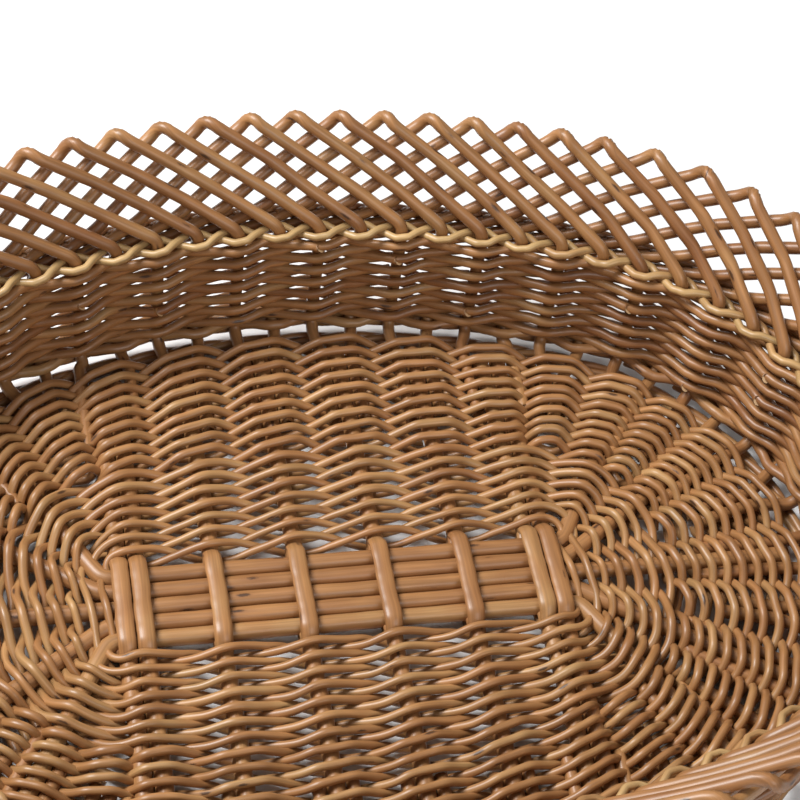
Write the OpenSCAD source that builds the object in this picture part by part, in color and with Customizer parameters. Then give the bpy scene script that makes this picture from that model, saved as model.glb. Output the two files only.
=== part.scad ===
// Oval willow basket: a stick and weave base, a waled side wall and an open lattice border.
// X runs along the length, Y across, Z up. The origin is the middle of the face it stands on.

/* [Base sticks] */
// Diameter of a base stick
stick_d = 6.4; // [5.2:0.1:7.7]
// Distance between neighbouring single cross sticks
cross_gap = 30; // [24:0.5:36]
// Distance from the outer single cross stick to the first stick of the double one
double_gap = 26.5; // [22:0.5:32]
// Sideways clearance between sticks that lie next to each other
stick_clear = 0.3; // [0.2:0.05:0.6]

/* [Oval] */
// Distance from the middle to the centre of each round end
end_centre = 66; // [55:1:80]
// Radius of the round end, on the line of the side stakes at the foot of the wall
wall_r = 118; // [98:1:142]
// Distance from the middle to the centre of each long side's curve
side_centre = 185; // [150:1:230]

/* [Base weave] */
// Diameter of a base weaver
weaver_d = 3; // [2.4:0.1:3.6]
// Rounds of weave in the base
base_rounds = 16; // [8:1:18]
// Diameter of the foot wale that the basket stands on
foot_d = 6; // [5:0.1:7.2]
// How much of the foot wale's underside is worn flat
foot_flat = 0.4; // [0.2:0.05:0.6]

/* [Side wall] */
// Diameter of a side stake, which is also the lattice rod
stake_d = 4.8; // [4:0.1:5.8]
// Diameter of a wale rod
wale_d = 3.8; // [3.1:0.1:4.6]
// Rounds of wale in the wall
wale_rounds = 7; // [4:1:8]
// Height of the foot of the lattice
lattice_z = 62; // [52:1:75]
// How far the wall draws in between its foot and the lattice
wall_draw = 1; // [0:0.5:3]
// Diameter of the rods of the pairing under the lattice
pairing_d = 3; // [2.4:0.1:3.6]

/* [Lattice border] */
// Height of the lattice peaks above the lattice foot, to the rod's middle
lattice_rise = 33; // [27:1:39]
// How far the lattice leans outwards
lattice_flare = 22; // [18:1:27]
// How many rod spacings a rod leans over on its way up
lattice_lean = 3.5; // [2.5:0.5:4.5]
// Diameter of the rolled border rods
border_d = 5; // [4:0.1:6]

/* [Fits] */
// Clearance between rods that cross
cross_clear = 0.25; // [0.15:0.05:0.4]
// Clearance between the two layers of the lattice
lattice_clear = 0.75; // [0.6:0.05:0.95]

/* [Hidden] */
$fn = 48;
side_stakes = 14;   // stakes on each long side
end_stakes = 18;    // stakes round each end
stakes = 2 * (side_stakes + end_stakes);
stake_depth = 12;   // length of a stake that is slid into the base
stick_margin = 13;  // from a stick's end to the line of the stakes
stick_spread = 30;  // where the long sticks' ends run square to the edge, from the line of the stakes
rod_sides = 6;      // sides of a swept rod
butt_gap = 0.3;     // gap where two rods of a round butt end to end

stick_r = stick_d / 2;
stake_r = stake_d / 2;
weaver_r = weaver_d / 2;
wale_r = wale_d / 2;
pairing_r = pairing_d / 2;
border_r = border_d / 2;
stick_pitch = stick_d + stick_clear;

// The oval is four arcs that meet tangentially; every wall line is parallel to it.
side_extra = norm([end_centre, side_centre]);
side_angle = atan(end_centre / side_centre);
side_bulge = side_extra - side_centre;

// Heights
foot_z = foot_d / 2 - foot_flat;
stick_z = foot_d - foot_flat + cross_clear + stake_r;
upper_z = stick_z + stick_r + cross_clear + weaver_r;
lower_z = stick_z - stick_r - cross_clear - weaver_r;
bend_r = 6;
pairing_z = lattice_z - pairing_r;
first_wale_z = stick_z + bend_r + wale_r;
last_wale_z = pairing_z - pairing_r - wale_r - 2;
wale_pitch = (last_wale_z - first_wale_z) / (wale_rounds - 1);

// Cross: the long sticks fill a band, the cross sticks stand in six places along it
single_x = [-1.5, -0.5, 0.5, 1.5] * cross_gap;
double_x = 1.5 * cross_gap + double_gap;
cross_x = concat([-double_x - stick_pitch, -double_x], single_x, [double_x, double_x + stick_pitch]);
leaf_lift = stick_r + cross_clear;
leaf_flat_half = 2 * stick_pitch + stick_r / 2;
leaf_taper = 5;
// where each long stick ends round the oval, in stake spacings from the middle of the back
long_u = [23, 20, 16, 12, 9];

// half length of a cross stick at x, to its end inside the line of the stakes
function cross_reach(x) =
    let (r = wall_r - stick_margin)
    x <= end_centre ? sqrt(pow(r + side_extra, 2) - x * x) - side_centre :
    sqrt(r * r - pow(x - end_centre, 2));

// First and last base rounds: half length, half width, half of the straight end, bulge of the side
first_round = [double_x + stick_pitch + stick_r + weaver_r + stick_clear,
               leaf_flat_half + leaf_taper + weaver_r + stick_clear, 17, 0.5];
last_offset = stick_margin + 1;   // the last round still lies over the ends of the sticks
last_round = [end_centre + wall_r - last_offset, wall_r + side_bulge - last_offset, 0, side_bulge];

// Lattice surface
slant = norm([lattice_flare, lattice_rise]);
slant_dir = [lattice_flare, lattice_rise] / slant;
slant_out = [slant_dir.y, -slant_dir.x];
layer_gap = stake_d + lattice_clear;
tail_end = 7.5 / slant;  // where the outer rods stop, as a share of the way up

// ---- places on the oval ----

// Arc centre, angle clockwise from +Y and extra radius at u stake spacings from the back's middle
function arc_at(u) =
    let (half = side_stakes / 2,
         v = u + half - stakes * floor((u + half) / stakes) - half,
         end_step = (180 - 2 * side_angle) / end_stakes,
         side_step = side_angle / half)
    v < half ? [[0, -side_centre], v * side_step, side_extra] :
    v < half + end_stakes ? [[end_centre, 0], side_angle + (v - half) * end_step, 0] :
    v < 3 * half + end_stakes ?
        [[0, side_centre], 180 + (v - 2 * half - end_stakes) * side_step, side_extra] :
    [[-end_centre, 0], 180 + side_angle + (v - 3 * half - end_stakes) * end_step, 0];

// Point at u, at radius r and height z
function place(u, r, z) =
    let (a = arc_at(u), reach = r + a[2])
    [a[0].x + reach * sin(a[1]), a[0].y + reach * cos(a[1]), z];

// Radius of the line of the stakes at height z on the wall
function wall_radius(z) = wall_r - wall_draw * (z - stick_z) / (lattice_z - stick_z);

// Point of the lattice: share q of the way up, offset out along the surface's normal
function lattice_point(u, q, out) =
    place(u, wall_radius(lattice_z) + q * lattice_flare + out * slant_out.x,
          lattice_z + q * lattice_rise + out * slant_out.y);

// ---- swept rods ----

function unit(v) = v / norm(v);
function direction(p, i) =
    unit((i == 0 ? [0, 0, 0] : unit(p[i] - p[i - 1])) +
         (i == len(p) - 1 ? [0, 0, 0] : unit(p[i + 1] - p[i])));
// side vectors carried along the path, so that the rod doesn't twist
function carried(p, v, i = 0) =
    i == len(p) ? [] :
    let (t = direction(p, i), w = unit(v - (v * t) * t))
    concat([w], carried(p, w, i + 1));
function rod_points(p, v, r) =
    let (sides = carried(p, v))
    [for (i = [0:len(p) - 1]) let (t = direction(p, i), a = sides[i], b = cross(t, a))
        for (k = [0:rod_sides - 1]) let (w = 360 * k / rod_sides) p[i] + r * (cos(w) * a + sin(w) * b)];

module swept_rod(p, v, r) {
    n = rod_sides;
    last = n * (len(p) - 1);
    polyhedron(points = rod_points(p, v, r), faces = concat(
        [[for (k = [0:n - 1]) k]],
        [for (i = [0:len(p) - 2], k = [0:n - 1]) let (a = i * n + k, b = i * n + (k + 1) % n)
            each [[a, a + n, b], [b, a + n, b + n]]],
        [[for (k = [n - 1:-1:0]) last + k]]));
}

// outer stretch of a long stick, from where the weave spreads it to its end
function stick_end(u) =
    [place(u, wall_r - stick_spread, stick_z), place(u, wall_r - stick_margin, stick_z)];

// ---- rings ----

// stretch of rod round an arc, a little short at each end, where the next rod butts on
module arc_rod(centre, from, sweep, r, z, d, flat = 0) {
    gap = 90 / PI * butt_gap / r;
    translate([centre.x, centre.y, z]) rotate(from + gap) rotate_extrude(angle = sweep - 2 * gap, $fn = 240)
        translate([r, 0]) difference() {
            circle(d = d, $fn = 32);
            if (flat > 0) translate([-d, -1.5 * d + flat]) square([2 * d, d]);
        }
}

// Ring of butted rods: half length, half width, half of its straight end, bulge of its side
module ring(size, z, d, flat = 0) {
    corner_r = size[1] - size[2] - size[3];
    cx = size[0] - corner_r;
    side_d = (cx * cx + size[2] * size[2] - pow(size[1] - corner_r, 2)) / (2 * size[3]);
    side_r = side_d + size[1];
    half = atan2(cx, size[2] + side_d);
    for (m = [0, 1]) rotate(180 * m) {
        arc_rod([0, -side_d], 90 - half, 2 * half, side_r, z, d, flat);
        if (size[2] > butt_gap) {
            arc_rod([cx, size[2]], 0, 90 - half, corner_r, z, d, flat);
            arc_rod([cx, -size[2]], half - 90, 90 - half, corner_r, z, d, flat);
            translate([size[0], size[2] - butt_gap / 2, z]) rotate([90, 0, 0])
                cylinder(h = 2 * size[2] - butt_gap, d = d);
        } else
            arc_rod([cx, 0], half - 90, 180 - 2 * half, corner_r, z, d, flat);
    }
}

// Ring parallel to the wall, out from the line of the stakes
module wall_ring(r, z, d, flat = 0) {
    ring([end_centre + r, r + side_bulge, 0, side_bulge], z, d, flat);
}

// ---- sub-parts ----

module long_stick(i) {
    y = (i - 3) * stick_pitch;
    x = double_x + stick_pitch + stick_r + 3;
    right = stick_end(long_u[i - 1]);
    left = [for (p = right) [-p.x, p.y, p.z]];
    color("burlywood") swept_rod(
        [left[1], left[0], [-x, y, stick_z], [x, y, stick_z], right[0], right[1]], [0, 0, 1], stick_r);
}

// Outline of a cross stick from the side: it swells over and under the split that holds the long sticks
function swell(side) =
    let (tip = leaf_flat_half + leaf_taper, lift = stick_r + leaf_lift)
    [[-tip, side * stick_r], [-leaf_flat_half, side * lift],
     [leaf_flat_half, side * lift], [tip, side * stick_r]];

// a cross stick is split in the middle and the long sticks run through the split
module cross_stick(i) {
    x = cross_x[i - 1];
    reach = cross_reach(abs(x));
    tip = leaf_flat_half + leaf_taper;
    color("peru") translate([x - stick_r, 0, stick_z]) rotate([90, 0, 90]) linear_extrude(stick_d)
        difference() {
            polygon(concat([[-reach, stick_r]], swell(1), [[reach, stick_r], [reach, -stick_r]],
                           [for (k = [3:-1:0]) swell(-1)[k]], [[-reach, -stick_r]]));
            polygon([[-tip, 0], [-leaf_flat_half, leaf_lift], [leaf_flat_half, leaf_lift],
                     [tip, 0], [leaf_flat_half, -leaf_lift], [-leaf_flat_half, -leaf_lift]]);
        }
}

// one round of pairing: its strand above the sticks and its strand below them
module base_round(i) {
    share = (i - 1) / (base_rounds - 1);
    size = first_round + share * (last_round - first_round);
    color("tan") {
        ring(size, upper_z, weaver_d);
        ring(size, lower_z, weaver_d);
    }
}

module foot_wale() {
    color("sienna") wall_ring(wall_r - 4, foot_z, foot_d, foot_flat);
}

// one round of wale: its rod inside the stakes and its rod outside them
module side_wale(i) {
    z = first_wale_z + (i - 1) * wale_pitch;
    gap = stake_r + cross_clear + wale_r;
    color("sandybrown") {
        wall_ring(wall_radius(z) - gap, z, wale_d);
        wall_ring(wall_radius(z) + gap, z, wale_d);
    }
}

module top_pairing() {
    gap = stake_r + cross_clear + pairing_r;
    color("khaki") {
        wall_ring(wall_radius(pairing_z) - gap, pairing_z - 1, pairing_d);
        wall_ring(wall_radius(pairing_z) + gap, pairing_z - 1, pairing_d);
    }
}

// One stake: along the base, up the wall, leaning up inside the lattice, over, and down outside it
function stake_path(u) =
    let (lean = lattice_lean, far = u - 2 * lean)
    concat(
        [place(u, wall_r - stake_depth, stick_z),
         place(u, wall_r - bend_r, stick_z),
         place(u, wall_r - 0.3 * bend_r, stick_z + 0.3 * bend_r),
         place(u, wall_r, stick_z + bend_r)],
        [for (q = [0, 0.35, 0.7, 0.92]) lattice_point(u - lean * q, q, 0)],
        [lattice_point(u - lean, 1, layer_gap / 2)],
        [for (q = [0.92, 0.55, tail_end]) lattice_point(far + lean * q, q, layer_gap)]);

module lattice_stakes(first, count) {
    color("goldenrod") for (i = [0:count - 1]) {
        u = first + i + 0.5;
        a = arc_at(u)[1];
        swept_rod(stake_path(u), [cos(a), -sin(a), 0], stake_r);
    }
}

// two rods of the border, rolled round the wall just under the ends of the lattice
module rolled_border() {
    r = wall_radius(last_wale_z) + stake_r + cross_clear + wale_d + cross_clear + border_r;
    color("saddlebrown") for (z = [lattice_z - 3.2, lattice_z - 3.2 - border_d - 0.6])
        wall_ring(r, z, border_d);
}

for (i = [1:5]) long_stick(i);
for (i = [1:8]) cross_stick(i);
for (i = [1:base_rounds]) base_round(i);
foot_wale();
for (i = [1:wale_rounds]) side_wale(i);
top_pairing();
lattice_stakes(-side_stakes / 2, side_stakes);  // lattice_stakes_back
lattice_stakes(side_stakes / 2, end_stakes);  // lattice_stakes_right
lattice_stakes(side_stakes / 2 + end_stakes, side_stakes);  // lattice_stakes_front
lattice_stakes(side_stakes / 2 + end_stakes + side_stakes, end_stakes);  // lattice_stakes_left
rolled_border();
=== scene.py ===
import math

import bpy
import numpy as np
from bpy.props import FloatProperty, FloatVectorProperty, IntProperty, PointerProperty
from mathutils import Matrix, Vector


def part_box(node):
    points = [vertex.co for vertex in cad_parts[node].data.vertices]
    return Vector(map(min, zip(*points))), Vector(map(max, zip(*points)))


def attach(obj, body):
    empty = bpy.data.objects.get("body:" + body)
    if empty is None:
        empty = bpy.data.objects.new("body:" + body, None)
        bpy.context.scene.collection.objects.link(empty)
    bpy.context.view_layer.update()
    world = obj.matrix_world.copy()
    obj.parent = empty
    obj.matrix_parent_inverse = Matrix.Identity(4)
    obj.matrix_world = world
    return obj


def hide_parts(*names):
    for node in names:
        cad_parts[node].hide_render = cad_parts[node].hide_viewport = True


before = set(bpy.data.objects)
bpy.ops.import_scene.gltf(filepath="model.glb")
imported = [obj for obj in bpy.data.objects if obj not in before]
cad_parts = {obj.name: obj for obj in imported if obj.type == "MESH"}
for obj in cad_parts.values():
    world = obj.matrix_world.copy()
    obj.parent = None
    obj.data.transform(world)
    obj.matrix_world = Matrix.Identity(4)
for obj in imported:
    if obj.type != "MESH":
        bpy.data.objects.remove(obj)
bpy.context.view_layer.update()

bl_info = {
    "name": "Oval Willow Basket",
    "version": (1, 0, 0),
    "blender": (4, 5, 0),
    "location": "View3D > Sidebar > Basket",
    "description": "Weaves an oval willow basket with an open lattice border",
    "category": "Add Mesh",
}

MM = 0.001
BODY = "root"

# Counts that the pattern of the weave depends on. Places round the oval are given in stake spacings,
# clockwise from the middle of the back.
SIDE_STAKES = 14
END_STAKES = 18
STAKES = 2 * (SIDE_STAKES + END_STAKES)
LONG_STICKS = 5
CROSS_STICKS = 8
BASE_ROUNDS = sum(name.startswith("base_round_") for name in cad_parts)
WALE_ROUNDS = sum(name.startswith("side_wale_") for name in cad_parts)
LONG_STICK_ENDS = (23, 20, 16, 12, 9)   # where the long sticks end round the right end, in stake spacings
BETWEEN_ENDS = (7, 10.5, 14, 18, 21.5, 25)  # stakes slid into the weave between the long sticks


def box_mm(node):
    """Lowest and highest corner of a CAD node, in millimetres."""
    low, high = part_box(node)
    return np.array(low) / MM, np.array(high) / MM


FOOT_LOW, FOOT_HIGH = box_mm("foot_wale")
STICK_LOW, STICK_HIGH = box_mm("long_stick_3")
PAIRING_LOW, PAIRING_HIGH = box_mm("top_pairing")


class BasketSizes(bpy.types.PropertyGroup):
    """Sizes of the basket's rods and of its oval."""

    end_centre: FloatProperty(
        name="End centre", description="From the middle to the centre of each round end",
        default=0.066, min=0.05, max=0.09, unit="LENGTH")
    side_centre: FloatProperty(
        name="Side centre", description="From the middle to the centre of each long side's curve",
        default=0.185, min=0.14, max=0.25, unit="LENGTH")
    stick_radius: FloatProperty(
        name="Stick radius", description="Half the thickness of a base stick",
        default=(STICK_HIGH[2] - STICK_LOW[2]) / 2 * MM, min=0.002, max=0.005, unit="LENGTH")
    weaver_radius: FloatProperty(
        name="Weaver radius", description="Half the thickness of a base weaver",
        default=0.0015, min=0.001, max=0.003, unit="LENGTH")
    stake_radius: FloatProperty(
        name="Stake radius", description="Half the thickness of a stake, which is also a lattice rod",
        default=0.0024, min=0.0015, max=0.004, unit="LENGTH")
    wale_radius: FloatProperty(
        name="Wale radius", description="Half the thickness of a rod woven round the wall",
        default=0.0018, min=0.001, max=0.003, unit="LENGTH")
    pairing_radius: FloatProperty(
        name="Pairing radius", description="Half the thickness of a rod of the pairing under the lattice",
        default=0.00145, min=0.001, max=0.003, unit="LENGTH")
    lattice_flare: FloatProperty(
        name="Lattice flare", description="How far the lattice leans outwards",
        default=0.022, min=0.01, max=0.03, unit="LENGTH")
    lattice_rise: FloatProperty(
        name="Lattice rise", description="Height of the lattice peaks above the lattice foot",
        default=0.033, min=0.02, max=0.04, unit="LENGTH")
    layer_gap: FloatProperty(
        name="Layer gap", description="From the middle of the inner lattice rods to that of the outer ones",
        default=0.0052, min=0.004, max=0.007, unit="LENGTH")
    lattice_lean: FloatProperty(
        name="Lattice lean", description="Rod spacings that a lattice rod leans over on its way up",
        default=3.5, min=2.5, max=4.5)
    weave_seed: IntProperty(
        name="Weave seed", description="Start of the natural unevenness of the rods", default=11, min=0)


class BasketColours(bpy.types.PropertyGroup):
    """Colours of the varnished willow."""

    pale: FloatVectorProperty(
        name="Pale willow", description="Lightest rods, a little green", subtype="COLOR",
        size=4, min=0, max=1, default=(0.50, 0.32, 0.135, 1))
    golden: FloatVectorProperty(
        name="Golden willow", description="Most of the rods", subtype="COLOR",
        size=4, min=0, max=1, default=(0.37, 0.175, 0.062, 1))
    russet: FloatVectorProperty(
        name="Russet willow", description="Darkest and reddest rods", subtype="COLOR",
        size=4, min=0, max=1, default=(0.225, 0.085, 0.028, 1))
    knot: FloatVectorProperty(
        name="Knot", description="Bud scars and knots", subtype="COLOR",
        size=4, min=0, max=1, default=(0.035, 0.014, 0.007, 1))
    cut: FloatVectorProperty(
        name="Cut wood", description="Bare wood of a cut end", subtype="COLOR",
        size=4, min=0, max=1, default=(0.60, 0.41, 0.22, 1))


# ---- the oval ----

FOOT_INSET = 4.0      # from the line of the stakes in to the middle of the foot wale
FOOT_RADIUS = 3.0     # half the thickness of the CAD foot wale
OUTLINE_STEP = 0.25   # spacing of an outline's points
CURVE_POINTS = 200    # points on each arc of an outline, before they are spaced


def sizes():
    return bpy.context.scene.basket_sizes


def mm(length):
    return length / MM


def wall_radius():
    """Radius of the round end on the line of the stakes, taken from the foot wale."""
    return FOOT_HIGH[0] - mm(sizes().end_centre) + FOOT_INSET - FOOT_RADIUS


def on_oval(u, radius, height):
    """Points and outward directions at u stake spacings clockwise from the middle of the back."""
    end, side = mm(sizes().end_centre), mm(sizes().side_centre)
    extra, angle = math.hypot(end, side), math.atan2(end, side)
    half = SIDE_STAKES / 2
    u, radius, height = np.broadcast_arrays(*[np.asarray(v, float) for v in (u, radius, height)])
    v = (u + half) % STAKES - half
    end_step, side_step = (math.pi - 2 * angle) / END_STAKES, angle / half
    parts = [v < half, v < half + END_STAKES, v < 3 * half + END_STAKES]
    turn = np.select(parts, [v * side_step, angle + (v - half) * end_step,
                             math.pi + (v - 2 * half - END_STAKES) * side_step],
                     math.pi + angle + (v - 3 * half - END_STAKES) * end_step)
    cx = np.select(parts, [0, end, 0], -end)
    cy = np.select(parts, [-side, 0, side], 0)
    reach = radius + np.select(parts, [extra, 0, extra], 0)
    out = np.stack([np.sin(turn), np.cos(turn), np.zeros_like(turn)], -1)
    return np.stack([cx + reach * out[..., 0], cy + reach * out[..., 1], height], -1), out


def oval_outline(half_length, half_width, straight, bulge):
    """Closed outline of a round in the base, clockwise from the middle of the back.

    straight is half of the straight part of its ends, and bulge how far its long sides bow out.
    """
    corner = half_width - straight - bulge
    cx = half_length - corner
    depth = (cx * cx + straight * straight - (half_width - corner) ** 2) / (2 * bulge)
    side_radius, half = depth + half_width, math.atan2(cx, straight + depth)
    side = np.linspace(0, half, CURVE_POINTS)
    turn = np.linspace(half, math.pi / 2, CURVE_POINTS)
    quarter = np.concatenate([
        np.stack([side_radius * np.sin(side), side_radius * np.cos(side) - depth], -1),
        np.stack([cx + corner * np.sin(turn), straight + corner * np.cos(turn)], -1)[1:],
        [[half_length, 0.0]]])
    right = np.concatenate([quarter, (quarter * [1, -1])[-2::-1]])
    line = np.concatenate([right, (right * [-1, 1])[-2::-1]])
    return spaced(np.c_[line, np.zeros(len(line))], OUTLINE_STEP)[:, :2]


def spaced(path, step):
    """The same path with points at even distances."""
    lengths = np.r_[0, np.cumsum(np.linalg.norm(np.diff(path, axis=0), axis=1))]
    at = np.linspace(0, lengths[-1], max(3, int(lengths[-1] / step) + 1))
    return np.stack([np.interp(at, lengths, path[:, k]) for k in range(3)], -1)


def softened(path, times):
    """The same path with its corners cut off, as many times over, as a rod bends."""
    for _ in range(times):
        first, second = path[:-1] * 0.75 + path[1:] * 0.25, path[:-1] * 0.25 + path[1:] * 0.75
        path = np.concatenate([path[:1], np.stack([first, second], 1).reshape(-1, 3), path[-1:]])
    return path


# ---- rods ----

WANDER_WAVES = (1.0, 1.7, 2.9)   # waves that a rod's natural drift is made of
WANDER_TOTAL = 1.6
SWELL, SWELL_POINTS = 0.035, 22  # how much a rod's thickness wanders, and points to each wave
GRAIN_SPAN = 9000                # length of willow, in millimetres, that the grain of a rod is taken from
ROD_TAPER = (1.07, 0.93)         # thickness of a woven rod at its butt and at its tip
BUTT_SLANT = (0.6, 0.6)
FEWEST_POINTS = 12               # a shorter rod is left out
DRIFT_LEAD = math.pi / 3         # how far the drift runs behind the swing


class RodBundle:
    """Collects willow rods and makes one mesh of them."""

    def __init__(self, seed):
        self.rng = np.random.default_rng(sizes().weave_seed * 1000 + seed)
        self.points, self.grain, self.tone, self.bare, self.sides_of, self.ends = [], [], [], [], [], []
        self.count = 0

    def wander(self, n, size, waves):
        """Smooth random drift along a rod."""
        at = np.linspace(0, 1, n)
        drift = np.zeros(n)
        for share in WANDER_WAVES:
            drift += np.sin(2 * math.pi * (waves * share * at + self.rng.random())) / share
        return size * drift / WANDER_TOTAL

    def add(self, path, side, radius, tone=None, sides=8, slant=(0.0, 0.0), wide=1.0, flat=1.0):
        """One rod along path. side is where its section starts, wide and flat squash the section, and slant
        tilts the cut at its first and last end."""
        n = len(path)
        if tone is None:
            tone = self.rng.random()
        radius = np.broadcast_to(np.asarray(radius, float), (n,))
        wide, flat = (np.broadcast_to(np.asarray(v, float), (n,)) for v in (wide, flat))
        along = np.gradient(path, axis=0)
        along /= np.linalg.norm(along, axis=1)[:, None]
        side = np.broadcast_to(np.asarray(side, float), (n, 3))
        a = side - (side * along).sum(1)[:, None] * along
        a /= np.linalg.norm(a, axis=1)[:, None]
        b = np.cross(along, a)
        turn = np.arange(sides) * 2 * math.pi / sides
        ca, sa = np.cos(turn), np.sin(turn)
        swell = radius * (1 + self.wander(n, SWELL, n / SWELL_POINTS))
        ring = (path[:, None] + (swell * wide)[:, None, None] * ca[None, :, None] * a[:, None]
                + (swell * flat)[:, None, None] * sa[None, :, None] * b[:, None])
        for end, sign in ((0, -1), (n - 1, 1)):
            tilt = slant[0 if end == 0 else 1]
            ring[end] -= sign * (tilt * radius[end] * (1 + ca))[:, None] * along[end]
        length = np.r_[0, np.cumsum(np.linalg.norm(np.diff(path, axis=0), axis=1))]
        length = length + self.rng.random() * GRAIN_SPAN
        grain = np.stack([np.broadcast_to(radius[:, None] * ca, (n, sides)),
                          np.broadcast_to(radius[:, None] * sa, (n, sides)),
                          np.broadcast_to(length[:, None], (n, sides))], -1)
        caps = ring[[0, -1]]
        bare = np.zeros(n * sides + 2 * sides)
        bare[n * sides:] = 1
        self.points.append(np.concatenate([ring.reshape(-1, 3), caps.reshape(-1, 3)]))
        self.grain.append(np.concatenate([grain.reshape(-1, 3), grain[[0, -1]].reshape(-1, 3)]))
        self.tone.append(np.full(len(bare), tone))
        self.bare.append(bare)
        base = self.count
        i, k = np.meshgrid(np.arange(n - 1), np.arange(sides), indexing="ij")
        at, nxt = base + i * sides + k, base + i * sides + (k + 1) % sides
        self.sides_of.append(np.stack([at, nxt, nxt + sides, at + sides], -1).reshape(-1, 4))
        first_cap, last_cap = base + n * sides, base + (n + 1) * sides
        self.ends.append((first_cap + np.arange(sides)[::-1], last_cap + np.arange(sides)))
        self.count += len(bare)

    def make(self, name, finish, slot, *nodes):
        """The mesh object, in place, riding on the basket and standing for its CAD nodes."""
        quads = np.concatenate(self.sides_of)
        ends = [face for pair in self.ends for face in pair]
        loops = np.concatenate([quads.reshape(-1)] + ends).astype(np.int32)
        sizes_of = np.r_[np.full(len(quads), 4), [len(face) for face in ends]].astype(np.int32)
        starts = np.r_[0, np.cumsum(sizes_of)[:-1]].astype(np.int32)
        mesh = bpy.data.meshes.new(name)
        mesh.vertices.add(self.count)
        mesh.vertices.foreach_set("co", (np.concatenate(self.points) * MM).astype(np.float32).ravel())
        mesh.loops.add(len(loops))
        mesh.loops.foreach_set("vertex_index", loops)
        mesh.polygons.add(len(sizes_of))
        mesh.polygons.foreach_set("loop_start", starts)
        smooth = np.ones(len(sizes_of), bool)
        smooth[len(quads):] = False
        mesh.update(calc_edges=True)
        mesh.polygons.foreach_set("use_smooth", smooth)
        for label, kind, values in (("rod_grain", "FLOAT_VECTOR", np.concatenate(self.grain) * MM),
                                    ("rod_tone", "FLOAT", np.concatenate(self.tone)),
                                    ("rod_bare", "FLOAT", np.concatenate(self.bare))):
            layer = mesh.attributes.new(label, kind, "POINT")
            layer.data.foreach_set("vector" if kind == "FLOAT_VECTOR" else "value",
                                   values.astype(np.float32).ravel())
        mesh.validate()
        piece = bpy.data.objects.new(name, mesh)
        bpy.context.collection.objects.link(piece)
        mesh.materials.append(finish)
        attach(piece, BODY)
        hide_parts(*nodes)
        return piece


def bent(angle, hold):
    """Swing of a rod that runs straight between supports and lies flat over hold of each."""
    straight = 1 - 2 * np.arccos(np.cos(angle)) / math.pi
    return np.clip(straight / (1 - hold), -1, 1)


def smoothed(values, reach):
    """Moving average along a rod, which rounds its kinks."""
    window = np.hanning(2 * reach + 3)
    return np.convolve(np.pad(values, reach + 1, mode="edge"), window / window.sum(), mode="valid")


def twine(bundle, centre, swing_axis, drift_axis, phase, swing, drift, radius,
          strands=2, rods=2, uneven=0.25, sides=8, hold=0.15, kink=2):
    """Strands that twist round each other along a closed line, each made of several rods.

    A strand swings across the stakes and drifts along them. hold is the share of each half turn in
    which it lies flat against a stake, and kink how widely its bends are rounded.
    """
    n = len(centre)
    turns = phase[-1] - phase[0]
    for strand in range(strands):
        angle = phase + strand * 2 * math.pi / strands
        # start every rod where the strand is hidden behind a stick or stake
        first = np.ceil((angle[0] - math.pi) / (2 * math.pi)) * 2 * math.pi + math.pi
        joints = first + 2 * math.pi * np.unique(np.round(
            (np.arange(rods) + bundle.rng.random(rods) * 0.5) * turns / rods / (2 * math.pi)))
        joints = joints[joints < angle[-1]]
        joints = np.r_[joints, joints[0] + turns]
        for start, stop in zip(joints[:-1], joints[1:]):
            i = np.arange(int(np.interp(start, angle, np.arange(n))),
                          int(np.interp(stop if stop <= angle[-1] else stop - turns, angle, np.arange(n)))
                          + (0 if stop <= angle[-1] else n - 1))
            if len(i) < FEWEST_POINTS:
                continue
            k = i % (n - 1)
            wrap = angle[k]
            line = centre[k]
            swung = swing * smoothed(bent(wrap, hold), kink)
            swung = swung + bundle.wander(len(i), uneven * 0.4, len(i) / 40)
            drifted = drift * smoothed(bent(wrap - DRIFT_LEAD, 0), kink + 2)
            drifted = drifted + bundle.wander(len(i), uneven, len(i) / 45)
            path = line + swing_axis[k] * swung[:, None] + drift_axis[k] * drifted[:, None]
            taper = np.linspace(*ROD_TAPER, len(i)) * radius
            bundle.add(path[1:-1], drift_axis[k][1:-1], taper[1:-1], None, sides, slant=BUTT_SLANT)


# ---- willow ----

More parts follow.
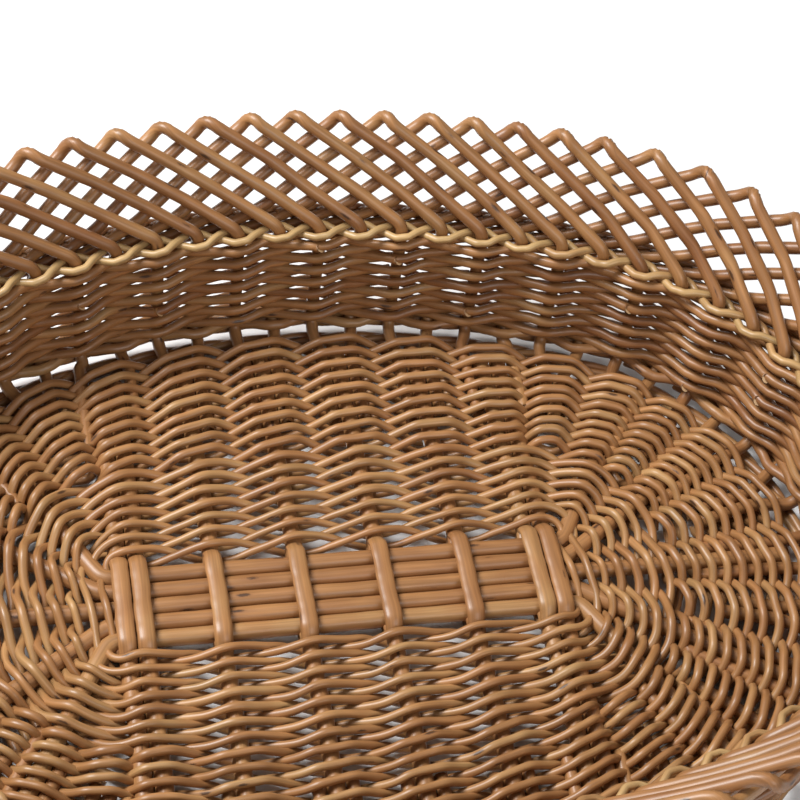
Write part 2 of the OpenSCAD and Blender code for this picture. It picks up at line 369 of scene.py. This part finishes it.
def willow_grain():
    """Node group: colour, roughness and height of a varnished willow rod."""
    group = bpy.data.node_groups.new("willow_grain", "ShaderNodeTree")
    face = group.interface
    for name, kind, value in (("Pale", "NodeSocketColor", tuple(colours().pale)),
                              ("Golden", "NodeSocketColor", tuple(colours().golden)),
                              ("Russet", "NodeSocketColor", tuple(colours().russet)),
                              ("Knot", "NodeSocketColor", tuple(colours().knot)),
                              ("Cut", "NodeSocketColor", tuple(colours().cut)),
                              ("Tone low", "NodeSocketFloat", 0.0),
                              ("Tone high", "NodeSocketFloat", 1.0),
                              ("Knots", "NodeSocketFloat", 0.05)):
        face.new_socket(name=name, in_out="INPUT", socket_type=kind).default_value = value
    face.new_socket(name="Colour", in_out="OUTPUT", socket_type="NodeSocketColor")
    face.new_socket(name="Roughness", in_out="OUTPUT", socket_type="NodeSocketFloat")
    face.new_socket(name="Height", in_out="OUTPUT", socket_type="NodeSocketFloat")
    nodes, links = group.nodes, group.links
    given, result = nodes.new("NodeGroupInput"), nodes.new("NodeGroupOutput")

    def attribute(name):
        node = nodes.new("ShaderNodeAttribute")
        node.attribute_name = name
        return node

    def noise(scale, stretch, detail):
        spread = nodes.new("ShaderNodeMapping")
        spread.inputs["Scale"].default_value = stretch
        links.new(grain.outputs["Vector"], spread.inputs["Vector"])
        node = nodes.new("ShaderNodeTexNoise")
        node.inputs["Scale"].default_value = scale
        node.inputs["Detail"].default_value = detail
        links.new(spread.outputs["Vector"], node.inputs["Vector"])
        return node.outputs["Fac"]

    def ranged(value, low, high, to_low, to_high):
        node = nodes.new("ShaderNodeMapRange")
        links.new(value, node.inputs["Value"])
        for key, number in (("From Min", low), ("From Max", high), ("To Min", to_low), ("To Max", to_high)):
            if hasattr(number, "is_linked"):
                links.new(number, node.inputs[key])
            else:
                node.inputs[key].default_value = number
        return node.outputs["Result"]

    def maths(kind, first, second):
        node = nodes.new("ShaderNodeMath")
        node.operation = kind
        for socket, value in zip(node.inputs, (first, second)):
            if hasattr(value, "is_linked"):
                links.new(value, socket)
            else:
                socket.default_value = value
        return node.outputs["Value"]

    def mixed(share, first, second, kind="MIX"):
        node = nodes.new("ShaderNodeMix")
        node.data_type, node.blend_type = "RGBA", kind
        for key, value in ((0, share), (6, first), (7, second)):
            if hasattr(value, "is_linked"):
                links.new(value, node.inputs[key])
            else:
                node.inputs[key].default_value = value
        return node.outputs[2]

    grain, tone, bare = attribute("rod_grain"), attribute("rod_tone"), attribute("rod_bare")
    fibre = noise(1300.0, (1.0, 1.0, 0.035), 3.0)
    patch = noise(38.0, (1.0, 1.0, 1.0), 2.0)
    streak = noise(420.0, (1.0, 1.0, 0.05), 2.0)
    speck = noise(2600.0, (1.0, 1.0, 0.5), 1.0)
    # rod colour, from pale over golden to russet
    level = maths("ADD", ranged(tone.outputs["Fac"], 0.0, 1.0, given.outputs["Tone low"],
                                given.outputs["Tone high"]), ranged(patch, 0.3, 0.7, -0.16, 0.16))
    light = mixed(ranged(level, 0.0, 0.5, 0.0, 1.0), given.outputs["Pale"], given.outputs["Golden"])
    body = mixed(ranged(level, 0.5, 1.0, 0.0, 1.0), light, given.outputs["Russet"])
    shade = maths("MULTIPLY", ranged(fibre, 0.25, 0.75, 0.80, 1.16), ranged(streak, 0.25, 0.75, 0.80, 1.14))
    body = mixed(1.0, body, shade, "MULTIPLY")
    # knots and bud scars
    spread = nodes.new("ShaderNodeMapping")
    spread.inputs["Scale"].default_value = (4.0, 4.0, 1.0)
    links.new(grain.outputs["Vector"], spread.inputs["Vector"])
    cells = nodes.new("ShaderNodeTexVoronoi")
    cells.inputs["Scale"].default_value = 48.0
    links.new(spread.outputs["Vector"], cells.inputs["Vector"])
    ragged = maths("ADD", cells.outputs["Distance"], ranged(speck, 0.2, 0.8, -0.02, 0.03))
    scar = ranged(ragged, given.outputs["Knots"], maths("MULTIPLY", given.outputs["Knots"], 1.9), 0.85, 0.0)
    halo = ranged(ragged, given.outputs["Knots"], maths("MULTIPLY", given.outputs["Knots"], 4.5), 0.35, 0.0)
    body = mixed(halo, body, given.outputs["Russet"])
    body = mixed(scar, body, given.outputs["Knot"])
    rings = mixed(ranged(speck, 0.3, 0.7, 0.0, 0.35), given.outputs["Cut"], given.outputs["Golden"])
    links.new(mixed(bare.outputs["Fac"], body, rings), result.inputs["Colour"])
    # cut ends are rougher than the varnished bark
    satin, rough_cut = ranged(streak, 0.2, 0.8, 0.38, 0.54), maths("MULTIPLY", bare.outputs["Fac"], 0.3)
    links.new(maths("ADD", satin, rough_cut), result.inputs["Roughness"])
    fibre_height, scar_height = maths("MULTIPLY", fibre, 0.7), maths("MULTIPLY", scar, 0.5)
    links.new(maths("ADD", fibre_height, scar_height), result.inputs["Height"])
    return group


def colours():
    return bpy.context.scene.basket_colours


def willow(name, low, high, knots=0.05, coat=0.22):
    """Varnished willow whose rods run from tone low to tone high."""
    finish = bpy.data.materials.get(name)
    if finish:
        return finish
    finish = bpy.data.materials.new(name)
    finish.use_nodes = True
    nodes, links = finish.node_tree.nodes, finish.node_tree.links
    nodes.clear()
    grain = nodes.new("ShaderNodeGroup")
    grain.node_tree = bpy.data.node_groups.get("willow_grain") or willow_grain()
    grain.inputs["Tone low"].default_value = low
    grain.inputs["Tone high"].default_value = high
    grain.inputs["Knots"].default_value = knots
    surface, output = nodes.new("ShaderNodeBsdfPrincipled"), nodes.new("ShaderNodeOutputMaterial")
    relief = nodes.new("ShaderNodeBump")
    relief.inputs["Strength"].default_value = 0.35
    relief.inputs["Distance"].default_value = 0.00025
    surface.inputs["Coat Weight"].default_value = coat
    surface.inputs["Coat Roughness"].default_value = 0.28
    links.new(grain.outputs["Colour"], surface.inputs["Base Color"])
    links.new(grain.outputs["Roughness"], surface.inputs["Roughness"])
    links.new(grain.outputs["Height"], relief.inputs["Height"])
    links.new(relief.outputs["Normal"], surface.inputs["Normal"])
    links.new(surface.outputs["BSDF"], output.inputs["Surface"])
    return finish


def clear_selection():
    bpy.ops.object.select_all(action="DESELECT")


# ---- base ----

SPREAD_START = 6.2       # past the double cross stick, where the long sticks begin to spread
SQUARE_INSET = 30        # from the line of the stakes in to where a long stick runs square to the edge
STICK_MARGIN = 13        # from the line of the stakes in to the end of a stick
ROOT_MARGIN = 6          # from the line of the stakes in to the edge of the base
CROSS_REACH = 124        # half the length of a line that stands for a cross stick
BETWEEN_START = 30       # radius at which the stakes between the long sticks begin
PHASE_REACH = 24         # points over which the weave's pace is evened out
STICK_SIDES, LEAF_SIDES = 14, 16
STICK_SLANT, CROSS_SLANT = (0.5, 0.5), (0.2, 0.5)
SPLIT_TIP, SPLIT_FLAT = 20.0, 15.0   # half the length of a cross stick's split, and of its flat part
HIDDEN_END = 4.5         # part of a cross stick's half that runs on inside the split
BUNCH_ROUNDS = 2         # first rounds, which pass the long sticks as one bunch
STICK_ROUNDS = 7         # last round before the stakes between the long sticks begin
THIN_ROUNDS = 3          # first rounds, made of thinner rods
SHORT_ROD_ROUND = 6      # from here each strand takes two rods
BUNCH_REACH = 150.0      # length of the line that stands for the bunch


def stick_layout():
    """Height of the sticks' middle, places of the cross sticks and of the long ones."""
    cross_x = [sum(box_mm("cross_stick_%d" % (i + 1))[end][0] for end in (0, 1)) / 2
               for i in range(CROSS_STICKS)]
    long_y = [(i - 2) * (cross_x[-1] - cross_x[-2]) for i in range(LONG_STICKS)]
    return (STICK_LOW[2] + STICK_HIGH[2]) / 2, cross_x, long_y


def long_stick_half(y, u, height, cross_x):
    """Right half of a long stick: straight under the cross sticks, then out to its end."""
    ends = on_oval([u, u], [wall_radius() - SQUARE_INSET, wall_radius() - STICK_MARGIN], height)[0]
    return np.concatenate([[[0, y, height], [cross_x[-1] + SPREAD_START, y, height]], ends])


def spokes():
    """Lines that the base is woven over: (kind, polyline from the inside to the edge)."""
    height, cross_x, long_y = stick_layout()
    lines = []
    double = (cross_x[-1] + cross_x[-2]) / 2
    for x in (cross_x[4], cross_x[5], double):
        for sx in (1, -1):
            for sy in (1, -1):
                line = np.array([[sx * x, 0, height], [sx * x, sy * CROSS_REACH, height]])
                lines.append(("cross", line))
    for y, u in zip(long_y, LONG_STICK_ENDS):
        edge = on_oval(u, wall_radius() - ROOT_MARGIN, height)[0]
        half = np.concatenate([long_stick_half(y, u, height, cross_x), edge[None]])
        lines += [("long", half * [sx, 1, 1]) for sx in (1, -1)]
    for u in BETWEEN_ENDS:
        line = on_oval([u, u], [BETWEEN_START, wall_radius() - ROOT_MARGIN], height)[0]
        lines += [("between", line * [sx, 1, 1]) for sx in (1, -1)]
    return lines


def round_phase(outline, lines):
    """Phase along an outline that passes a whole half turn at every line it crosses."""
    n = len(outline)
    at = []
    for line in lines:
        dense = spaced(line, 0.5)[:, :2]
        gap = ((outline[:-1, None] - dense[None]) ** 2).sum(2)
        at.append(np.unravel_index(gap.argmin(), gap.shape)[0])
    at = np.sort(np.array(at, float))
    count = len(at)
    marks = np.r_[at[-2:] - (n - 1), at, at[:2] + (n - 1)]
    steps = math.pi * np.arange(-2, count + 2)
    index = np.arange(-PHASE_REACH, n + PHASE_REACH)
    raw = np.interp(index, marks, steps)
    window = np.hanning(2 * PHASE_REACH + 1)
    return np.convolve(raw, window / window.sum(), mode="valid")[:n]


class BASKET_OT_sticks(bpy.types.Operator):
    """Lays the long sticks and the split cross sticks of the base"""
    bl_idname = "basket.sticks"
    bl_label = "Base sticks"

    def execute(self, context):
        clear_selection()
        height, cross_x, long_y = stick_layout()
        radius = mm(sizes().stick_radius)
        finish = willow("stick_willow", 0.42, 0.72, knots=0.085)
        for i in range(LONG_STICKS):
            bundle = RodBundle(10 + i)
            half = long_stick_half(long_y[i], LONG_STICK_ENDS[i], height, cross_x)
            path = np.concatenate([(half * [-1, 1, 1])[:0:-1], half])
            path = spaced(softened(spaced(path, 7.0), 2), 2.0)
            path[:, 1] += bundle.wander(len(path), 0.12, 3)
            path[:, 2] += bundle.wander(len(path), 0.1, 3)
            thick = radius * np.linspace(1.0, 0.96, len(path))
            bundle.add(path, (0, 0, 1), thick, sides=STICK_SIDES, slant=STICK_SLANT)
            node = "long_stick_%d" % (i + 1)
            bundle.make(node, finish, "base_stick", node)
        for i, x in enumerate(cross_x):
            node = "cross_stick_%d" % (i + 1)
            low, high = box_mm(node)
            self.cross_stick(node, x, high[1], height, radius, (high[2] - low[2]) / 2, finish, 20 + i)
        return {"FINISHED"}

    def cross_stick(self, node, x, reach, height, radius, lift, finish, seed):
        """A stick whose middle is split into two flat leaves round the long sticks."""
        bundle = RodBundle(seed)
        tone = bundle.rng.random()
        tip, flat_half, thin = SPLIT_TIP, SPLIT_FLAT, radius * 0.2
        for end in (-1, 1):
            y = np.linspace(end * (tip - HIDDEN_END), end * (reach - 0.4), 60)
            aside, above = bundle.wander(60, 0.25, 1.2), bundle.wander(60, 0.12, 1.5)
            path = np.stack([x + aside, y, height + above], -1)
            bundle.add(path, (1, 0, 0), radius, tone, STICK_SIDES, slant=CROSS_SLANT,
                       flat=np.interp(abs(y), [tip - HIDDEN_END, tip + 2], [0.35, 1.0]))
        for side in (-1, 1):
            y = np.linspace(-tip - 1.5, tip + 1.5, 70)
            rise = np.interp(abs(y), [0, flat_half - 2, flat_half + 1.5, tip, tip + 1.5],
                             [lift - radius * 0.42] * 2 + [lift - radius * 0.55, radius * 0.4, thin])
            rise = smoothed(rise, 3)
            path = np.stack([x + bundle.wander(70, 0.15, 1), y, height + side * rise], -1)
            wide = np.interp(abs(y), [0, flat_half, tip, tip + 1.5], [1.0, 1.02, 1.0, 0.9])
            thick = np.interp(abs(y), [0, flat_half, tip, tip + 1.5], [0.44, 0.46, 0.6, 0.5])
            bundle.add(path, (1, 0, 0), radius, tone, LEAF_SIDES, wide=wide, flat=thick)
        bundle.make(node, finish, "base_stick", node)


class BASKET_OT_base_weave(bpy.types.Operator):
    """Weaves the rounds of the base over and under its sticks"""
    bl_idname = "basket.base_weave"
    bl_label = "Base weave"

    def execute(self, context):
        clear_selection()
        lines = spokes()
        finish = willow("weaver_willow", 0.34, 0.66, knots=0.07)
        bunch = [np.array([[0, 0, 0], [sx * BUNCH_REACH, 0, 0]]) for sx in (1, -1)]
        cross = [line for kind, line in lines if kind == "cross"]
        sticks = cross + [line for kind, line in lines if kind == "long"]
        everything = [line for kind, line in lines]
        for i in range(1, BASE_ROUNDS + 1):
            node = "base_round_%d" % i
            low, high = box_mm(node)
            share = (i - 1) / (BASE_ROUNDS - 1)
            weaver = (high[2] - low[2]) / 2
            half_length, half_width = high[0] - 1.5, high[1] - 1.5
            straight, bulge = 17 * (1 - share) + 0.01, 0.5 + share * 10.92
            outline = oval_outline(half_length, half_width, straight, bulge)
            over = cross + bunch if i <= BUNCH_ROUNDS else sticks if i <= STICK_ROUNDS else everything
            phase = round_phase(outline, over)
            along = np.gradient(outline, axis=0)
            along /= np.linalg.norm(along, axis=1)[:, None]
            outward = np.c_[-along[:, 1], along[:, 0], np.zeros(len(along))]
            bundle = RodBundle(40 + i)
            thin = i <= THIN_ROUNDS
            radius = mm(sizes().weaver_radius) * (0.95 if thin else 1.06 + 0.05 * bundle.rng.random())
            # the round bows out between sticks and is drawn in at them
            bow = 0.35 * (1 - np.abs(np.cos(phase)))
            middle = (low[2] + high[2]) / 2
            centre = np.c_[outline + outward[:, :2] * bow[:, None], np.full(len(outline), middle)]
            up = np.broadcast_to([0.0, 0.0, 1.0], centre.shape)
            swing = weaver - mm(sizes().weaver_radius)
            twine(bundle, centre[::4], up[::4], outward[::4], phase[::4], swing, radius * 1.5,
                  radius, rods=1 if i < SHORT_ROD_ROUND else 2, uneven=0.34,
                  hold=0.12 if i <= STICK_ROUNDS else 0.42)
            bundle.make(node, finish, "base_weaver", node)
        return {"FINISHED"}


# ---- foot and wall ----

FOOT_MIDDLE = 2.95                       # height of the foot wale's middle
KERB_OUTSET, KERB_MIDDLE = 2.9, 8.7      # of the kerb, from the line of the stakes and above the table
WALE_STEPS, PAIRING_STEPS = 1600, 2200   # points round the wall
WALE_INSET = 6.45                        # from a CAD round's outside to the line of the stakes
PAIRING_INSET = 5.65
UPSETT_DROP = 3.7                        # from the first round of wale down to the upsett
UPSETT_SWING, UPSETT_RADIUS = 4.3, 1.95
BUTTS = 4                                # cut ends that show in each round of wale


class BASKET_OT_foot(bpy.types.Operator):
    """Lays the three twisted rods of the foot wale, and the kerb over them"""
    bl_idname = "basket.foot"
    bl_label = "Foot wale"

    def execute(self, context):
        clear_selection()
        bundle = RodBundle(70)
        u = np.linspace(0, STAKES, 900)
        centre, outward = on_oval(u, wall_radius() - FOOT_INSET, FOOT_MIDDLE)
        up = np.broadcast_to([0.0, 0.0, 1.0], centre.shape)
        twine(bundle, centre, up, outward, 2 * math.pi * u / 4, 1.3, 1.5, 1.75,
              strands=3, rods=3, uneven=0.1, hold=0, kink=4)
        # the kerb, which turns the stakes up and closes the corner under the wall
        centre, outward = on_oval(u, wall_radius() + KERB_OUTSET, KERB_MIDDLE)
        twine(bundle, centre, up, outward, 2 * math.pi * u / 4, 2.1, 1.7, 2.0,
              strands=3, rods=3, uneven=0.2, hold=0, kink=4)
        finish = willow("wale_willow", 0.38, 0.84, knots=0.075)
        bundle.make("foot_wale", finish, "wale_rod", "foot_wale")
        return {"FINISHED"}


class BASKET_OT_wall(bpy.types.Operator):
    """Weaves the rounds of wale, the upsett under the first round and short cut ends beside the stakes"""
    bl_idname = "basket.wall"
    bl_label = "Side wall"

    def execute(self, context):
        clear_selection()
        finish = willow("wale_willow", 0.38, 0.84, knots=0.075)
        radius, stake = mm(sizes().wale_radius), mm(sizes().stake_radius)
        for i in range(1, WALE_ROUNDS + 1):
            node = "side_wale_%d" % i
            low, high = box_mm(node)
            height = (low[2] + high[2]) / 2
            reach = high[0] - mm(sizes().end_centre) - WALE_INSET
            bundle = RodBundle(80 + i)
            u = np.linspace(0, STAKES, WALE_STEPS)
            centre, outward = on_oval(u, reach, height)
            centre[:, 2] += bundle.wander(WALE_STEPS, 0.35, 5) * np.sin(math.pi * u / STAKES)
            up = np.broadcast_to([0.0, 0.0, 1.0], centre.shape)
            twine(bundle, centre, -outward, up, math.pi * (u - 0.5) / 2, stake + radius + 0.1, radius * 1.3,
                  radius, rods=4, uneven=0.34, sides=10)
            if i == 1:
                self.upsett(bundle, reach, height - UPSETT_DROP, up, u)
            self.butts(bundle, reach, height, radius)
            bundle.make(node, finish, "wale_rod", node)
        return {"FINISHED"}

    def upsett(self, bundle, reach, height, up, u):
        """The thicker rods that turn the stakes up, just over the edge of the base."""
        centre, outward = on_oval(u, reach, height)
        twine(bundle, centre, -outward, up, math.pi * (u - 1.5) / 2, UPSETT_SWING, 1.2, UPSETT_RADIUS,
              rods=4, uneven=0.45, sides=10)

    def butts(self, bundle, reach, height, radius):
        """Short cut ends that stand out on the inside beside a stake."""
        for u in bundle.rng.choice(np.arange(0, STAKES, 2), BUTTS, replace=False) + 1.9:
            steps = np.linspace(0, 1, 9)
            path, outward = on_oval(u + 0.62 * steps, reach + 1.0 - 6.8 * steps ** 0.8,
                                    height - radius * 0.9 + 1.5 * radius * steps)
            bundle.add(path, (0, 0, 1), radius * 0.95, sides=10, slant=(0.0, 0.7))


class BASKET_OT_pairing(bpy.types.Operator):
    """Weaves the thin round that ties every rod at the foot of the lattice"""
    bl_idname = "basket.pairing"
    bl_label = "Top pairing"

    def execute(self, context):
        clear_selection()
        bundle = RodBundle(100)
        radius, stake = mm(sizes().pairing_radius), mm(sizes().stake_radius)
        height = (PAIRING_LOW[2] + PAIRING_HIGH[2]) / 2 + 0.4
        u = np.linspace(0, STAKES, PAIRING_STEPS)
        centre, outward = on_oval(u, PAIRING_HIGH[0] - mm(sizes().end_centre) - PAIRING_INSET, height)
        up = np.broadcast_to([0.0, 0.0, 1.0], centre.shape)
        twine(bundle, centre, -outward, up, math.pi * (u - 0.5), stake + radius + 0.1, radius * 1.05,
              radius, rods=3, uneven=0.2, hold=0.3)
        finish = willow("pairing_willow", -0.2, 0.35, knots=0.04)
        bundle.make("top_pairing", finish, "pairing_rod", "top_pairing")
        return {"FINISHED"}


# ---- stakes, lattice and border ----

PAIRING_ABOVE = 2.5      # from the pairing's middle up to the lattice foot
WALL_DRAW = 1            # how far the top of the wall is drawn in
BESIDE = {"cross": 5.9, "long": 5.9, "between": 2.6}   # from a stick's middle to the stake beside it
BESIDE_DOUBLE = 3.35     # more than that, at a double stick
DOUBLE_FROM = 60         # distance from the middle beyond which a cross stick is double
ROOT_LENGTH = {"cross": 46, "long": 46, "between": 34}   # of the shortest stake in the base
BOW_OUT = 4.3            # how far every second stake stands out to let the strands cross


def lattice_at(u, q, out):
    """Point of the lattice, share q of the way up and out along its surface's normal."""
    flare, rise = mm(sizes().lattice_flare), mm(sizes().lattice_rise)
    slant = math.hypot(flare, rise)
    foot = (PAIRING_LOW[2] + PAIRING_HIGH[2]) / 2 + PAIRING_ABOVE
    u, q, out = np.broadcast_arrays(*[np.asarray(v, float) for v in (u, q, out)])
    return on_oval(u, wall_radius() - WALL_DRAW + q * flare + out * rise / slant,
                   foot + q * rise - out * flare / slant)[0]


def stake_root(u, lines, height, rng):
    """Part of a stake that lies in the base, slid in beside its stick."""
    foot = on_oval(u, wall_radius() - ROOT_MARGIN, height)[0]
    kind, line = min(lines, key=lambda spoke: np.linalg.norm(spoke[1][-1] - foot))
    beside = BESIDE[kind]
    dense = spaced(line, 1.0)
    if kind == "cross" and abs(dense[0, 0]) > DOUBLE_FROM:
        beside += BESIDE_DOUBLE
    run = dense[-1] - dense[-8]
    run /= np.linalg.norm(run)
    normal = np.array([-run[1], run[0], 0.0])
    side = 1 if (foot - dense[-1]) @ normal > 0 else -1
    depth = int(ROOT_LENGTH[kind] + rng.random() * 9)
    root = dense[-depth:-10:6]
    along = np.gradient(dense, axis=0)[-depth:-10:6]
    along /= np.linalg.norm(along, axis=1)[:, None]
    return root + side * beside * np.stack([-along[:, 1], along[:, 0], 0 * along[:, 0]], -1)


def stake_line(index, lines, rng):
    """Whole run of one stake: root, bend, wall, lattice, peak and down to the border."""
    u = index + 0.5
    lean, gap = sizes().lattice_lean, mm(sizes().layer_gap)
    height = (STICK_LOW[2] + STICK_HIGH[2]) / 2
    wall = wall_radius()
    outside = BOW_OUT if index % 2 else 0.0
    root = stake_root(u, lines, height, rng)
    upright = on_oval([u] * 8,
                      [wall - 5, wall - 0.6, wall + outside * 0.7, wall + outside, wall - 0.4 + outside,
                       wall - 0.7 + outside, wall - 0.9 + outside * 0.55, wall - 1],
                      [height, height + 2.2, height + 7, height + 13, 36, 49, 56, 60])[0]
    q = np.array([0.03, 0.35, 0.65, 0.95])
    rise = lattice_at(u - lean * q + rng.normal(0, 0.035, 4), q, rng.normal(0, 0.12, 4))
    peak = lattice_at([u - lean + 0.02, u - lean - 0.1], [1.02, 1.0], [gap * 0.3, gap * 0.75])
    q = np.array([0.93, 0.6, 0.42])
    fall = lattice_at(u - 2 * lean + lean * q, q, gap + rng.normal(0, 0.12, 3))
    tail = lattice_at(u - 2 * lean + lean * 0.3, 0.3, gap)[None]
    return np.concatenate([root, upright, rise, peak, fall, tail])


class BASKET_OT_stakes(bpy.types.Operator):
    """Sets the stakes that run from the base up the wall and over the lattice"""
    bl_idname = "basket.stakes"
    bl_label = "Stakes and lattice"

    def execute(self, context):
        clear_selection()
        lines = spokes()
        finish = willow("stake_willow", 0.42, 0.78, knots=0.085)
        half = SIDE_STAKES // 2
        for name, first, count in (("back", -half, SIDE_STAKES), ("right", half, END_STAKES),
                                   ("front", half + END_STAKES, SIDE_STAKES),
                                   ("left", 3 * half + END_STAKES, END_STAKES)):
            bundle = RodBundle(110 + first)
            for index in range(first, first + count):
                path = spaced(softened(spaced(stake_line(index, lines, bundle.rng), 2.6), 2), 1.4)
                bundle.add(path, on_oval(index + 0.5, 1, 0)[1][[1, 0, 2]] * [1, -1, 1],
                           mm(sizes().stake_radius) * np.linspace(1.03, 0.95, len(path)), sides=10,
                           slant=(1.5, 0.3))
            bundle.make("lattice_stakes_" + name, finish, "stake_rod", "lattice_stakes_" + name)
        return {"FINISHED"}


class BASKET_OT_border(bpy.types.Operator):
    """Rolls the ends of the lattice rods into a rope round the outside"""
    bl_idname = "basket.border"
    bl_label = "Rolled border"

    def execute(self, context):
        clear_selection()
        bundle = RodBundle(200)
        lean, gap, stake = sizes().lattice_lean, mm(sizes().layer_gap), mm(sizes().stake_radius)
        low, high = box_mm("rolled_border")
        height = (low[2] + high[2]) / 2 + 0.6
        radius = high[0] - mm(sizes().end_centre) - 1.3
        for index in range(STAKES):
            start = index + 0.5 - 2 * lean
            entry = lattice_at([start + lean * 0.42, start + lean * 0.3, start + lean * 0.18],
                               [0.42, 0.3, 0.18], gap)
            steps = np.linspace(0, 1, 26)
            turn = math.radians(125) + 2 * math.pi * steps
            rolled = on_oval(start + 0.1 - 4.2 * steps, radius + 2.9 * np.cos(turn),
                             height + 3.9 * np.sin(turn))[0]
            path = spaced(softened(np.concatenate([entry, rolled]), 2), 1.5)
            thick = stake * np.linspace(0.97, 0.76, len(path))
            bundle.add(path, (0, 0, 1), thick, slant=(0.0, 1.0))
        finish = willow("border_willow", 0.45, 0.95, knots=0.07)
        bundle.make("rolled_border", finish, "border_rod", "rolled_border")
        return {"FINISHED"}


# ---- stage ----

CAMERA_AT = (-0.1087, -0.3792, 0.5674)
CAMERA_YAW, CAMERA_PITCH, CAMERA_ROLL = 20.4, 54.3, 12.0
CAMERA_LENS, CAMERA_SHIFT = 85.9, (-0.0375, 0.2375)


class BASKET_OT_stage(bpy.types.Operator):
    """Sets the pale floor, the soft lights and the camera"""
    bl_idname = "basket.stage"
    bl_label = "Stage"

    def execute(self, context):
        clear_selection()
        bpy.ops.mesh.primitive_plane_add(size=8, location=(0, 0, 0))
        floor = context.active_object
        floor.name = "floor"
        paint = bpy.data.materials.new("pale_floor")
        paint.use_nodes = True
        surface = paint.node_tree.nodes["Principled BSDF"]
        surface.inputs["Base Color"].default_value = (0.86, 0.86, 0.86, 1)
        surface.inputs["Roughness"].default_value = 0.8
        floor.data.materials.append(paint)
        world = context.scene.world or bpy.data.worlds.new("studio")
        context.scene.world = world
        world.use_nodes = True
        sky = world.node_tree.nodes["Background"]
        sky.inputs["Color"].default_value = (1.0, 1.0, 1.0, 1)
        sky.inputs["Strength"].default_value = 0.24
        self.light("key", (-0.85, 0.42, 1.35), 0.7, 38)
        self.light("front", (0.5, -1.3, 1.1), 0.8, 9)
        context.scene.view_settings.view_transform = "Standard"
        self.camera(context)
        return {"FINISHED"}

    def light(self, name, at, size, power):
        bpy.ops.object.light_add(type="AREA", location=at)
        lamp = bpy.context.active_object
        lamp.name = name
        lamp.data.size, lamp.data.energy = size, power
        lamp.rotation_euler = (-Vector(at)).to_track_quat("-Z", "Y").to_euler()

    def camera(self, context):
        bpy.ops.object.camera_add(location=CAMERA_AT)
        camera = context.active_object
        yaw, pitch, roll = (math.radians(v) for v in (CAMERA_YAW, CAMERA_PITCH, CAMERA_ROLL))
        forward = Vector((math.sin(yaw) * math.cos(pitch), math.cos(yaw) * math.cos(pitch),
                          -math.sin(pitch)))
        level = Vector((math.cos(yaw), -math.sin(yaw), 0))
        above = level.cross(forward)
        right = math.cos(roll) * level + math.sin(roll) * above
        up = math.cos(roll) * above - math.sin(roll) * level
        turned = Matrix((right, up, -forward)).transposed().to_4x4()
        camera.matrix_world = Matrix.Translation(CAMERA_AT) @ turned
        camera.data.lens = CAMERA_LENS
        camera.data.sensor_width = 36
        camera.data.shift_x, camera.data.shift_y = CAMERA_SHIFT
        camera.data.clip_start, camera.data.clip_end = 0.01, 50
        context.scene.camera = camera


class BASKET_PT_panel(bpy.types.Panel):
    """Lists the basket's sizes, colours and the steps that weave it"""
    bl_label = "Oval Willow Basket"
    bl_idname = "BASKET_PT_panel"
    bl_space_type = "VIEW_3D"
    bl_region_type = "UI"
    bl_category = "Basket"

    def draw(self, context):
        column = self.layout.column()
        for group in (context.scene.basket_sizes, context.scene.basket_colours):
            for key in group.bl_rna.properties.keys():
                if key not in ("rna_type", "name"):
                    column.prop(group, key)
        for step in STEPS:
            column.operator(step.bl_idname)


STEPS = (BASKET_OT_sticks, BASKET_OT_base_weave, BASKET_OT_foot, BASKET_OT_wall, BASKET_OT_pairing,
         BASKET_OT_stakes, BASKET_OT_border, BASKET_OT_stage)
CLASSES = (BasketSizes, BasketColours) + STEPS + (BASKET_PT_panel,)


def register():
    for item in CLASSES:
        bpy.utils.register_class(item)
    bpy.types.Scene.basket_sizes = PointerProperty(type=BasketSizes)
    bpy.types.Scene.basket_colours = PointerProperty(type=BasketColours)


def unregister():
    del bpy.types.Scene.basket_colours
    del bpy.types.Scene.basket_sizes
    for item in reversed(CLASSES):
        bpy.utils.unregister_class(item)


def main():
    register()
    bpy.ops.basket.sticks()
    bpy.ops.basket.base_weave()
    bpy.ops.basket.foot()
    bpy.ops.basket.wall()
    bpy.ops.basket.pairing()
    bpy.ops.basket.stakes()
    bpy.ops.basket.border()
    bpy.ops.basket.stage()


if __name__ == "__main__":
    main()
